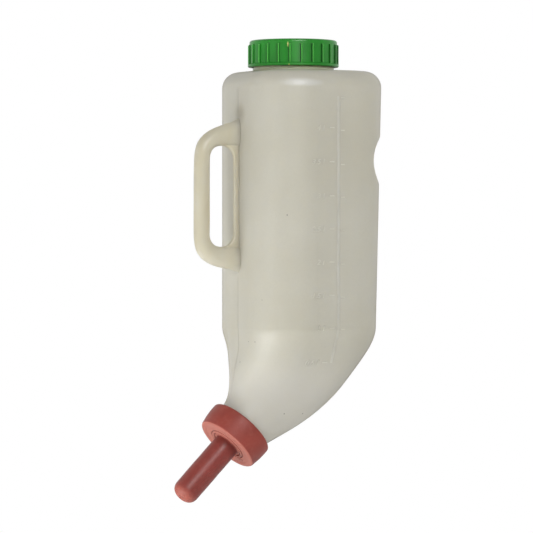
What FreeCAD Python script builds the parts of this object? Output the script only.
import FreeCAD, Part
import math
import os

# Calf feeding bottle: a hollow blow-moulded milk bottle with an integral handle
# loop, a rail notch across its back, a screwed filling cap on top and a rubber
# teat held on its slanted spout by a screwed collar.
#
# Frame: origin at the centre of the flat top face of the filling cap, +Z up
# along the neck axis.  -X is the front (handle and spout), +X the back (rail
# notch).  The bottle body is symmetric about the XZ plane.  Millimetres, degrees.
# Names ending in U are places along the spout's own axis, which leaves the
# front 45 degrees down; u = 0 is the plane of the collar's rear edge.

Vec = FreeCAD.Vector
UP = Vec(0, 0, 1)
ORIGIN = Vec(0, 0, 0)

COS45 = math.sqrt(0.5)
ROUND_MID = 1 - COS45    # inset of a unit corner round's midpoint from the sharp corner
CONTACT_GAP = 0.05       # gap between stacked pieces

# ---------------------------------------------------------------- dimensions
# body section: rounded rectangle
FRONT_X = -59.9
BACK_TOP_X = 78.3        # flat back at the shoulder
BACK_LOW_X = 72.0        # flat back at the funnel crease
HALF_W = 68.8            # half width across the sides
CORNER_R = 48.0          # upright corners
SHOULDER_Z = -29.9
CREASE_Z = -275.7        # where the straight body ends and the funnel begins
SHOULDER_R = 15.5
WALL = 1.8

# funnel: sections turned about a cross axis, the hinge, level with the crease
HINGE_X = -148.37
FUNNEL_END_R = 27.1
FUNNEL = [
    # angle, hinge to front side, hinge to back side, half width
    (0.0, FRONT_X - HINGE_X, BACK_LOW_X - HINGE_X, HALF_W),
    (9.0, 90.39, 209.2, 58.30),
    (18.0, 91.71, 197.0, 46.82),
    (27.0, 94.28, 184.4, 33.20),
    (36.0, 101.0, 169.8, 27.54),
    (45.0, 104.5, 158.7, FUNNEL_END_R),
]
FUNNEL_END_ANGLE = FUNNEL[-1][0]
FUNNEL_POINTS = 40       # points round each section
LEAD_ANGLE = -1.2        # extra first section, above the crease
LEAD_INSET = 0.16        # how far that section lies inside the body
CREASE_INSET = 0.12      # the same for the section at the crease

# handle loop, from the body at the top, round the front and back to the body
HANDLE = [
    # outer x, z, inner x, z, half thickness
    (-50.0, -73.4, -52.0, -104.0, 5.4),
    (-62.5, -77.0, -63.5, -102.4, 5.8),
    (-76.6, -81.9, -77.6, -101.8, 7.1),
    (-91.2, -88.0, -86.2, -104.2, 7.6),
    (-102.2, -98.5, -90.0, -109.5, 7.6),
    (-106.0, -118.0, -90.9, -118.0, 7.6),
    (-106.3, -150.0, -91.0, -150.0, 7.6),
    (-106.4, -182.0, -91.1, -182.0, 7.6),
    (-102.7, -203.5, -90.3, -190.5, 7.6),
    (-92.2, -213.0, -86.3, -195.4, 7.6),
    (-76.6, -217.8, -77.6, -197.6, 7.1),
    (-62.5, -221.0, -63.5, -197.0, 5.8),
    (-50.0, -224.2, -52.0, -195.4, 5.4),
]
HANDLE_POINTS = 16       # points round each section

# web between the handle and the body, with the finger opening's round ends
WEB_T = 4.4
WEB_X0, WEB_X1 = -77.5, -56.5
WEB_MARGIN = 4.5         # above and below the opening
WEB_RIM_R = 1.5
SLOT_X, SLOT_R = -77.6, 12.6
SLOT_Z0, SLOT_Z1 = -184.8, -114.4
SLOT_TOOL_W = 20.0

# rail notch across the back
NOTCH_R = 22.0
NOTCH_X, NOTCH_Z = 76.9, -115.1
NOTCH_LIP_R = 4.5
NOTCH_TOOL_L = 200.0

# filling cap and gasket
THREAD_BURIED = 0.5      # depth of a thread ridge sunk in its wall
THREAD_START = 17        # angle where every thread starts
CAP_PITCH = 8.0
CAP_H = 25.5
CAP_R = 42.0             # between the grip ribs
CAP_RIB_R = 43.55
CAP_TOP_T = 2.4
CAP_BORE_R = 40.0
CAP_THREAD_R = 38.35
CAP_THREAD_DROP = 3.35   # below the neck thread, before the quarter turn
CAP_RIBS = 24
CAP_RIB_W = 1.9
CAP_RIB_TOP_Z = -4.2
CAP_RIB_START = 12.1     # angle of the first rib
CAP_RIB_ROOT = 2.0       # how far a rib reaches in from its rounded crest
CAP_EDGE_R = 2.3
CAP_BAND_Z = -22.3       # top of the plain band round the rim
CAP_RIB_LOW_Z = CAP_BAND_Z - 1.5
CAP_BEVEL = 0.6
GASKET_T = 2.0
GASKET_OUT_R = 38.1
GASKET_IN_R = 33.0
GASKET_Z = -CAP_TOP_T - CONTACT_GAP

# filling neck
NECK_BORE_R = 35.8
NECK_R = 38.0            # thread root
NECK_BASE_R = 38.8
NECK_CREST_R = 39.6
NECK_THREAD_Z = -21.6
NECK_LIP_Z = GASKET_Z - GASKET_T - CONTACT_GAP
NECK_BEVEL = 0.8

# spout
SPOUT_X, SPOUT_Z = -55.7, -369.17
SPOUT_BORE_R = 22.6
SPOUT_SEAT_R = 27.0      # plain land under the collar's rear edge
SPOUT_R = 25.3           # thread root
SPOUT_CREST_R = 26.9
SPOUT_LIP_U = 15.5
SPOUT_ROOT_U = -6.0
SPOUT_BEVEL = 0.5
SPOUT_PITCH = 5.0
SPOUT_THREAD_U = 4.9

# flanges and collar face, stacked outward from the spout lip
VALVE_FLANGE_U0 = SPOUT_LIP_U + CONTACT_GAP
VALVE_FLANGE_U1 = VALVE_FLANGE_U0 + 1.2
TEAT_FLANGE_U0 = VALVE_FLANGE_U1 + CONTACT_GAP
TEAT_FLANGE_U1 = TEAT_FLANGE_U0 + 2.5
FACE_IN_U = TEAT_FLANGE_U1 + CONTACT_GAP

# collar
COLLAR_REAR_R = 33.0
COLLAR_FACE_R = 31.4
COLLAR_LEN = 22.6        # to the dished middle of the face
COLLAR_TOP_U = COLLAR_LEN + 0.8    # raised outer lip of the face
COLLAR_REAR_ROUND = 2.0
COLLAR_FACE_ROUND = 3.0
COLLAR_BULGE = 0.55      # of the barrel-shaped side
COLLAR_LIP_W = 1.8       # flat top of the raised lip
COLLAR_LIP_SLOPE = 2.0   # width of the slope down to the dish
COLLAR_BEVEL = 0.5
COLLAR_BORE_R = 27.5
COLLAR_THREAD_R = 25.7
COLLAR_THREAD_U = SPOUT_THREAD_U + 2.6
COLLAR_HOLE_R = 16.2
BEAD_R = 17.35           # bead round the teat hole
BEAD_TUBE_R = 1.15
BEAD_H = 0.9

# vent, on the underside of the spout axis
VENT_OFFSET = 20.3
VENT_PLUG_R = 2.85
VENT_PLUG_FIT = 0.02     # extra radius of the collar's hole for the plug
VENT_ROOM_R = 1.75
VENT_PORT_R = 0.6
VENT_PLUG_TOP_U = COLLAR_LEN + 0.7
VENT_PLUG_BEVEL = 0.35
VENT_HOLE_R = 0.8        # hole through the two flanges
VENT_GROOVE_W = 1.4
VENT_GROOVE_DEPTH = 0.8
VENT_BALL_R = 1.4
VENT_BALL_U = 21.35

# teat
TEAT_R = 12.5
TEAT_ROOT_R = 14.7
TEAT_ROOT_U = 21.6
TEAT_ROOT_BEVEL = 0.4
TEAT_FILLET = 1.0        # between the root and the side
TEAT_BORE_R = 9.6
TEAT_TIP_U = 93.0
TEAT_TIP_RISE = 0.4      # from the end of the rounding to the tip
TEAT_TIP_R = 8.0         # rounding between the side and the blunt tip
TEAT_TIP_T = 3.2
TEAT_FLANGE_R = 24.6
TEAT_HOLE_R = 1.0

# non-return valve inside the root of the teat
VALVE_FLANGE_R = 24.4
VALVE_TUBE_R = 9.4
VALVE_PORT_R = 3.2
VALVE_ROOM_R = 6.0
VALVE_SEAT_U = 18.0
VALVE_BALL_R = 4.75
VALVE_BALL_GAP = 0.03    # between the ball and the cage
VALVE_END_U = 28.32
CAGE_T = 2.0
CAGE_BEVEL = 0.6
CAGE_HOLES = 6
CAGE_HOLE_R = 1.5
CAGE_HOLE_RING_R = 4.1

# ---------------------------------------------------------------- helpers


def one_solid(shape):
    return max(shape.Solids, key=lambda solid: solid.Volume)


def closed_wire(points):
    curve = Part.BSplineCurve()
    curve.interpolate(Points=points, PeriodicFlag=True)
    return Part.Wire([curve.toShape()])


def revolve(outline, arcs=None):
    """Solid of revolution about Z from an (r, z) outline.

    arcs gives, by the index of a side's first point, a point its arc passes.
    """
    arcs = arcs or {}
    corners = [Vec(r, 0, z) for r, z in outline]
    edges = []
    for i, start in enumerate(corners):
        end = corners[(i + 1) % len(corners)]
        if i in arcs:
            r, z = arcs[i]
            edges.append(Part.Arc(start, Vec(r, 0, z), end).toShape())
        else:
            edges.append(Part.makeLine(start, end))
    return Part.Face(Part.Wire(edges)).revolve(ORIGIN, UP, 360)


def cylinder(radius, z0, z1, x=0.0, y=0.0):
    return Part.makeCylinder(radius, z1 - z0, Vec(x, y, z0), UP)


def thread(pitch, z0, turns, r_base, r_crest, w_base, w_crest):
    """Helical thread ridge about Z, its foot sunk in the wall at r_base."""
    side = 1.0 if r_crest > r_base else -1.0
    r_foot = r_base - side * THREAD_BURIED
    slope = (w_base - w_crest) / 2 / abs(r_crest - r_base)
    half_foot = w_base / 2 + slope * THREAD_BURIED
    half_crest = w_crest / 2
    helix = Part.makeHelix(pitch, pitch * turns, (r_base + r_crest) / 2)
    profile = Part.makePolygon([
        Vec(r_foot, 0, -half_foot), Vec(r_crest, 0, -half_crest),
        Vec(r_crest, 0, half_crest), Vec(r_foot, 0, half_foot),
        Vec(r_foot, 0, -half_foot)])
    ridge = Part.Wire(helix).makePipeShell([profile], True, True)
    ridge.rotate(ORIGIN, UP, THREAD_START)
    ridge.translate(Vec(0, 0, z0))
    return ridge


# local z runs out along the spout, local x up and forward
SPOUT_FRAME = FreeCAD.Placement(
    Vec(SPOUT_X, 0, SPOUT_Z),
    FreeCAD.Rotation(Vec(-1, 0, 1), Vec(0, 1, 0), Vec(-1, 0, -1), "ZXY"))


def to_spout(shape):
    moved = shape.copy()
    moved.Placement = SPOUT_FRAME.multiply(moved.Placement)
    return moved


# ---------------------------------------------------------------- bottle
# "inset" is 0 for the outside of the bottle and WALL for its hollow.


def body_section(z, back_x, inset):
    """Level rounded rectangle of four flats and four corner arcs."""
    x0, x1 = FRONT_X + inset, back_x - inset
    half_w, radius = HALF_W - inset, CORNER_R - inset
    mid = radius * COS45
    arcs = []
    for side_x, side_y in ((1, 1), (-1, 1), (-1, -1), (1, -1)):
        x = x1 - radius if side_x > 0 else x0 + radius
        y = side_y * (half_w - radius)
        start, end = Vec(x + side_x * radius, y, z), Vec(x, y + side_y * radius, z)
        if side_x * side_y < 0:
            start, end = end, start
        middle = Vec(x + side_x * mid, y + side_y * mid, z)
        arcs.append(Part.Arc(start, middle, end).toShape())
    ring = []
    for i, arc in enumerate(arcs):
        following = arcs[(i + 1) % 4]
        ring.append(arc)
        ring.append(Part.makeLine(arc.valueAt(arc.LastParameter),
                                  following.valueAt(following.FirstParameter)))
    return Part.Wire(ring)


def rounded_rect_point(angle, half_x, half_y, corner):
    """Point of a rounded rectangle about the origin at a polar angle."""
    cosine, sine = math.cos(angle), math.sin(angle)
    across, along = abs(cosine), abs(sine)
    corner_x, corner_y = half_x - corner, half_y - corner
    if half_x * along <= corner_y * across:
        reach = half_x / across
    elif half_y * across <= corner_x * along:
        reach = half_y / along
    else:
        dot = across * corner_x + along * corner_y
        reach = dot + math.sqrt(dot * dot - corner_x ** 2 - corner_y ** 2 + corner ** 2)
    return reach * cosine, reach * sine


def funnel_section(angle, front, back, half_w, inset):
    """Section that passes from the body's rounded rectangle to an ellipse."""
    share = max(angle, 0.0) / FUNNEL_END_ANGLE
    share = share * share * (3 - 2 * share)
    front, back, half_w = front + inset, back - inset, half_w - inset
    half_x = (BACK_LOW_X - FRONT_X) / 2.0
    tilt = math.radians(angle)
    points = []
    for i in range(FUNNEL_POINTS):
        turn = 2.0 * math.pi * i / FUNNEL_POINTS
        x, y = rounded_rect_point(turn, half_x, HALF_W, CORNER_R)
        unit_x = (1 - share) * x / half_x + share * math.cos(turn)
        unit_y = (1 - share) * y / HALF_W + share * math.sin(turn)
        reach = (back + front) / 2.0 + (back - front) / 2.0 * unit_x
        points.append(Vec(HINGE_X + reach * math.cos(tilt), half_w * unit_y,
                          CREASE_Z - reach * math.sin(tilt)))
    return closed_wire(points)


def straight_solid(inset):
    straight = Part.makeLoft([
        body_section(SHOULDER_Z - inset, BACK_TOP_X, inset),
        body_section(CREASE_Z, BACK_LOW_X, inset)], True, True)
    top = max(straight.Faces, key=lambda face: face.CenterOfMass.z)
    return straight.makeFillet(SHOULDER_R - inset, top.Edges)


def funnel_solid(inset):
    # the funnel starts just inside the body's lower edge
    crease = FUNNEL[0][1:]
    sections = [funnel_section(LEAD_ANGLE, *crease, inset + LEAD_INSET),
                funnel_section(0.0, *crease, inset + CREASE_INSET)]
    sections += [funnel_section(*station, inset) for station in FUNNEL[1:]]
    return Part.makeLoft(sections, True, False)


def cut_notch(solid, radius, lip):
    """Cut the rail notch and round its lips."""
    # the cylinder's seam lies on the open side
    tool = cylinder(radius, -NOTCH_TOOL_L / 2, NOTCH_TOOL_L / 2)
    tool.rotate(ORIGIN, Vec(1, 0, 0), 90)
    tool.translate(Vec(NOTCH_X, 0, NOTCH_Z))
    cut = solid.cut(tool).Solids[0]
    lips = []
    for edge in cut.Edges:
        first, last = edge.FirstParameter, edge.LastParameter
        points = [edge.valueAt(first + (last - first) * k / 4.0) for k in range(5)]
        if all(abs(math.hypot(point.x - NOTCH_X, point.z - NOTCH_Z) - radius) < 0.02
               for point in points):
            lips.append(edge)
    return cut.makeFillet(lip, lips).Solids[0]


def handle_solid(inset):
    """Loft of ellipses that span the outer and inner outlines."""
    wires = []
    for outer_x, outer_z, inner_x, inner_z, half_t in HANDLE:
        centre = Vec((outer_x + inner_x) / 2, 0, (outer_z + inner_z) / 2)
        across = Vec(outer_x - inner_x, 0, outer_z - inner_z)
        half_depth = across.Length / 2 - inset
        across.normalize()
        points = []
        for k in range(HANDLE_POINTS):
            turn = 2 * math.pi * k / HANDLE_POINTS
            points.append(centre + across * (half_depth * math.cos(turn))
                          + Vec(0, 1, 0) * ((half_t - inset) * math.sin(turn)))
        wires.append(closed_wire(points))
    return Part.makeLoft(wires, True, False)


def web_solid():
    web = Part.makeBox(
        WEB_X1 - WEB_X0, WEB_T, SLOT_Z1 - SLOT_Z0 + 2 * (SLOT_R + WEB_MARGIN),
        Vec(WEB_X0, -WEB_T / 2, SLOT_Z0 - SLOT_R - WEB_MARGIN))
    for z in (SLOT_Z0, SLOT_Z1):
        web = web.cut(Part.makeCylinder(
            SLOT_R, SLOT_TOOL_W, Vec(SLOT_X, -SLOT_TOOL_W / 2, z), Vec(0, 1, 0)))
    web = web.cut(Part.makeBox(2 * SLOT_R, SLOT_TOOL_W, SLOT_Z1 - SLOT_Z0,
                               Vec(SLOT_X - SLOT_R, -SLOT_TOOL_W / 2, SLOT_Z0)))
    web = one_solid(web)
    # round the edges of the finger opening
    rim = []
    for edge in web.Edges:
        mid = edge.valueAt((edge.FirstParameter + edge.LastParameter) / 2)
        on_arc = any(abs(math.hypot(mid.x - SLOT_X, mid.z - z) - SLOT_R) < 0.01
                     for z in (SLOT_Z0, SLOT_Z1))
        on_side = abs(mid.x - SLOT_X - SLOT_R) < 0.01 and SLOT_Z0 < mid.z < SLOT_Z1
        if (on_arc or on_side) and abs(abs(mid.y) - WEB_T / 2) < 0.01:
            rim.append(edge)
    return web.makeFillet(WEB_RIM_R, rim).Solids[0]


def neck_solid():
    foot_z = SHOULDER_Z - 8
    return revolve([
        (0, foot_z), (NECK_BASE_R, foot_z), (NECK_BASE_R, -26.4), (NECK_R, -25.4),
        (NECK_R, NECK_LIP_Z - NECK_BEVEL), (NECK_R - NECK_BEVEL, NECK_LIP_Z),
        (0, NECK_LIP_Z)])


def spout_solid():
    return to_spout(revolve([
        (0, SPOUT_ROOT_U), (FUNNEL_END_R - 0.3, SPOUT_ROOT_U), (FUNNEL_END_R - 0.1, 0.0),
        (SPOUT_SEAT_R, 2.4), (SPOUT_R, 3.4), (SPOUT_R, SPOUT_LIP_U - SPOUT_BEVEL),
        (SPOUT_R - SPOUT_BEVEL, SPOUT_LIP_U), (0, SPOUT_LIP_U)]))


def make_bottle():
    outer = cut_notch(straight_solid(0.0), NOTCH_R, NOTCH_LIP_R)
    outer = outer.fuse(funnel_solid(0.0))
    inner = cut_notch(straight_solid(WALL), NOTCH_R + WALL, NOTCH_LIP_R - WALL)
    inner = inner.fuse(funnel_solid(WALL))
    neck_thread = thread(CAP_PITCH, NECK_THREAD_Z, turns=1.9, r_base=NECK_R,
                         r_crest=NECK_CREST_R, w_base=3.4, w_crest=1.6)
    spout_thread = thread(SPOUT_PITCH, SPOUT_THREAD_U, turns=1.6, r_base=SPOUT_R,
                          r_crest=SPOUT_CREST_R, w_base=2.4, w_crest=1.0)
    for piece in (handle_solid(0.0), web_solid(), neck_solid(), spout_solid(),
                  neck_thread, to_spout(spout_thread)):
        outer = outer.fuse(piece)
    neck_bore = cylinder(NECK_BORE_R, SHOULDER_Z - 20, NECK_LIP_Z + 1)
    spout_bore = to_spout(cylinder(SPOUT_BORE_R, SPOUT_ROOT_U - 2, SPOUT_LIP_U + 1))
    for piece in (handle_solid(WALL), neck_bore, spout_bore):
        inner = inner.fuse(piece)
    return outer.cut(inner)


# ---------------------------------------------------------------- cap


def cap_rib(angle):
    """Half-round grip rib, its upper end a quarter ball."""
    half_w = CAP_RIB_W / 2
    axis_r = CAP_RIB_R - half_w
    root_r = axis_r - CAP_RIB_ROOT
    ball_z = CAP_RIB_TOP_Z - half_w
    bar = cylinder(half_w, CAP_RIB_LOW_Z, ball_z, axis_r)
    ball = Part.makeSphere(half_w, Vec(axis_r, 0, ball_z))
    fill = Part.makeBox(CAP_RIB_ROOT, 2 * half_w, ball_z - CAP_RIB_LOW_Z,
                        Vec(root_r, -half_w, CAP_RIB_LOW_Z))
    dome = Part.makeCylinder(half_w, CAP_RIB_ROOT, Vec(root_r, 0, ball_z), Vec(1, 0, 0))
    rib = bar.fuse([ball, fill, dome])
    rib.rotate(ORIGIN, UP, angle)
    return rib


def make_cap():
    shell = revolve(
        [(0, 0), (CAP_R - CAP_EDGE_R, 0), (CAP_R, -CAP_EDGE_R), (CAP_R, CAP_BAND_Z),
         (CAP_RIB_R, CAP_BAND_Z - 0.9), (CAP_RIB_R, -CAP_H + CAP_BEVEL),
         (CAP_RIB_R - CAP_BEVEL, -CAP_H), (CAP_BORE_R + CAP_BEVEL, -CAP_H),
         (CAP_BORE_R, -CAP_H + CAP_BEVEL), (CAP_BORE_R, -CAP_TOP_T), (0, -CAP_TOP_T)],
        {1: (CAP_R - CAP_EDGE_R * ROUND_MID, -CAP_EDGE_R * ROUND_MID)})
    ribs = [cap_rib(360.0 / CAP_RIBS * k + CAP_RIB_START) for k in range(CAP_RIBS)]
    ridge = thread(CAP_PITCH, NECK_THREAD_Z - CAP_THREAD_DROP + CAP_PITCH / 4, turns=1.5,
                   r_base=CAP_BORE_R, r_crest=CAP_THREAD_R, w_base=3.2, w_crest=1.4)
    ridge.rotate(ORIGIN, UP, 90)
    cap = shell.fuse(ribs + [ridge])
    # keep everything within the cap's height
    return cap.common(cylinder(CAP_RIB_R + 1, -CAP_H, 0))


def make_gasket():
    low_z = GASKET_Z - GASKET_T
    return revolve([(GASKET_IN_R, GASKET_Z), (GASKET_OUT_R, GASKET_Z),
                    (GASKET_OUT_R, low_z), (GASKET_IN_R, low_z)])


# ---------------------------------------------------------------- collar, teat, valve


def make_collar():
    rear, face = COLLAR_REAR_ROUND, COLLAR_FACE_ROUND
    top = COLLAR_TOP_U
    lip_r = COLLAR_FACE_R - face
    outline = [
        (COLLAR_BORE_R + COLLAR_BEVEL, 0), (COLLAR_REAR_R - rear, 0),
        (COLLAR_REAR_R, rear), (COLLAR_FACE_R, top - face), (lip_r, top),
        (lip_r - COLLAR_LIP_W, top),
        (lip_r - COLLAR_LIP_W - COLLAR_LIP_SLOPE, COLLAR_LEN),
        (COLLAR_HOLE_R + COLLAR_BEVEL, COLLAR_LEN),
        (COLLAR_HOLE_R, COLLAR_LEN - COLLAR_BEVEL), (COLLAR_HOLE_R, FACE_IN_U),
        (COLLAR_BORE_R, FACE_IN_U), (COLLAR_BORE_R, COLLAR_BEVEL)]
    # barrel-shaped side between rounded rear and face corners
    shell = revolve(outline, {
        1: (COLLAR_REAR_R - rear * ROUND_MID, rear * ROUND_MID),
        2: ((COLLAR_REAR_R + COLLAR_FACE_R) / 2 + COLLAR_BULGE, (rear + top - face) / 2),
        3: (COLLAR_FACE_R - face * ROUND_MID, top - face * ROUND_MID)})
    bead = Part.makeTorus(BEAD_R, BEAD_TUBE_R, Vec(0, 0, COLLAR_LEN - BEAD_TUBE_R + BEAD_H))
    ridge = thread(SPOUT_PITCH, COLLAR_THREAD_U, turns=1.7, r_base=COLLAR_BORE_R,
                   r_crest=COLLAR_THREAD_R, w_base=2.0, w_crest=0.8)
    collar = shell.fuse([bead, ridge])
    return to_spout(collar.cut(cylinder(
        VENT_PLUG_R + VENT_PLUG_FIT, FACE_IN_U - 1, COLLAR_LEN + 3, -VENT_OFFSET)))


def make_vent_plug():
    rear, top = FACE_IN_U + CONTACT_GAP, VENT_PLUG_TOP_U
    plug = revolve([
        (VENT_ROOM_R, rear), (VENT_PLUG_R, rear), (VENT_PLUG_R, top - VENT_PLUG_BEVEL),
        (VENT_PLUG_R - VENT_PLUG_BEVEL, top), (VENT_PORT_R, top),
        (VENT_PORT_R, 22.75), (VENT_ROOM_R, 21.6)])
    plug.translate(Vec(-VENT_OFFSET, 0, 0))
    return to_spout(plug)


def make_vent_ball():
    return to_spout(Part.makeSphere(VENT_BALL_R, Vec(-VENT_OFFSET, 0, VENT_BALL_U)))


def vent_hole(flange_u0, flange_u1):
    return cylinder(VENT_HOLE_R, flange_u0 - 1, flange_u1 + 1, -VENT_OFFSET)


def make_teat():
    side, bore, tip, tip_r = TEAT_R, TEAT_BORE_R, TEAT_TIP_U, TEAT_TIP_R
    round_end = tip - TEAT_TIP_RISE
    bore_end = tip - TEAT_TIP_T
    outline = [
        (bore, TEAT_FLANGE_U0), (TEAT_FLANGE_R, TEAT_FLANGE_U0),
        (TEAT_FLANGE_R, TEAT_FLANGE_U1), (TEAT_ROOT_R, TEAT_FLANGE_U1),
        (TEAT_ROOT_R, TEAT_ROOT_U - TEAT_ROOT_BEVEL),
        (TEAT_ROOT_R - TEAT_ROOT_BEVEL, TEAT_ROOT_U),
        (side + TEAT_FILLET, TEAT_ROOT_U), (side, TEAT_ROOT_U + TEAT_FILLET),
        (side, round_end - tip_r), (side - tip_r, round_end), (TEAT_HOLE_R, tip),
        (TEAT_HOLE_R, bore_end), (bore * 0.35, bore_end - 0.2),
        (bore, bore_end - bore * 0.8)]
    teat = revolve(outline, {
        6: (side + 0.3, TEAT_ROOT_U + 0.3),
        8: (side - tip_r * ROUND_MID, round_end - tip_r * ROUND_MID),
        12: (bore * 0.8, bore_end - bore * 0.3)})
    # air groove in the flange's outer face and the hole that leads it inside
    half_w = VENT_GROOVE_W / 2
    groove = cylinder(VENT_OFFSET + half_w, TEAT_FLANGE_U1 - VENT_GROOVE_DEPTH,
                      TEAT_FLANGE_U1 + 1)
    groove = groove.cut(cylinder(VENT_OFFSET - half_w, TEAT_FLANGE_U1 - 2,
                                 TEAT_FLANGE_U1 + 2))
    teat = teat.cut(groove)
    return to_spout(teat.cut(vent_hole(TEAT_FLANGE_U0, TEAT_FLANGE_U1)))


def make_valve_seat():
    # a 45 degree cone joins the port to the ball's room
    seat = revolve([
        (VALVE_PORT_R, VALVE_FLANGE_U0), (VALVE_FLANGE_R, VALVE_FLANGE_U0),
        (VALVE_FLANGE_R, VALVE_FLANGE_U1), (VALVE_TUBE_R, VALVE_FLANGE_U1),
        (VALVE_TUBE_R, VALVE_END_U), (VALVE_ROOM_R, VALVE_END_U),
        (VALVE_ROOM_R, VALVE_SEAT_U + VALVE_ROOM_R - VALVE_PORT_R),
        (VALVE_PORT_R, VALVE_SEAT_U)])
    return to_spout(seat.cut(vent_hole(VALVE_FLANGE_U0, VALVE_FLANGE_U1)))


def make_valve_ball():
    centre_u = VALVE_END_U - VALVE_BALL_R - VALVE_BALL_GAP
    return to_spout(Part.makeSphere(VALVE_BALL_R, Vec(0, 0, centre_u)))


def make_valve_cage():
    """Disc with a ring of holes that closes the end of the valve tube."""
    top = VALVE_END_U + CAGE_T
    disc = revolve([
        (0, VALVE_END_U), (VALVE_TUBE_R, VALVE_END_U), (VALVE_TUBE_R, top - CAGE_BEVEL),
        (VALVE_TUBE_R - CAGE_BEVEL, top), (0, top)])
    for k in range(CAGE_HOLES):
        turn = math.radians(360 / CAGE_HOLES * (k + 0.5))
        disc = disc.cut(cylinder(CAGE_HOLE_R, VALVE_END_U - 1, top + 1,
                                 CAGE_HOLE_RING_R * math.cos(turn),
                                 CAGE_HOLE_RING_R * math.sin(turn)))
    return to_spout(disc)


PIECES = {
    "bottle": make_bottle,
    "fill_cap": make_cap,
    "cap_gasket": make_gasket,
    "teat_collar": make_collar,
    "teat": make_teat,
    "valve_seat": make_valve_seat,
    "valve_ball": make_valve_ball,
    "valve_cage": make_valve_cage,
    "vent_plug": make_vent_plug,
    "vent_ball": make_vent_ball,
}

os.makedirs("parts", exist_ok=True)
for name, make in PIECES.items():
    one_solid(make()).exportStep("parts/%s.step" % name)
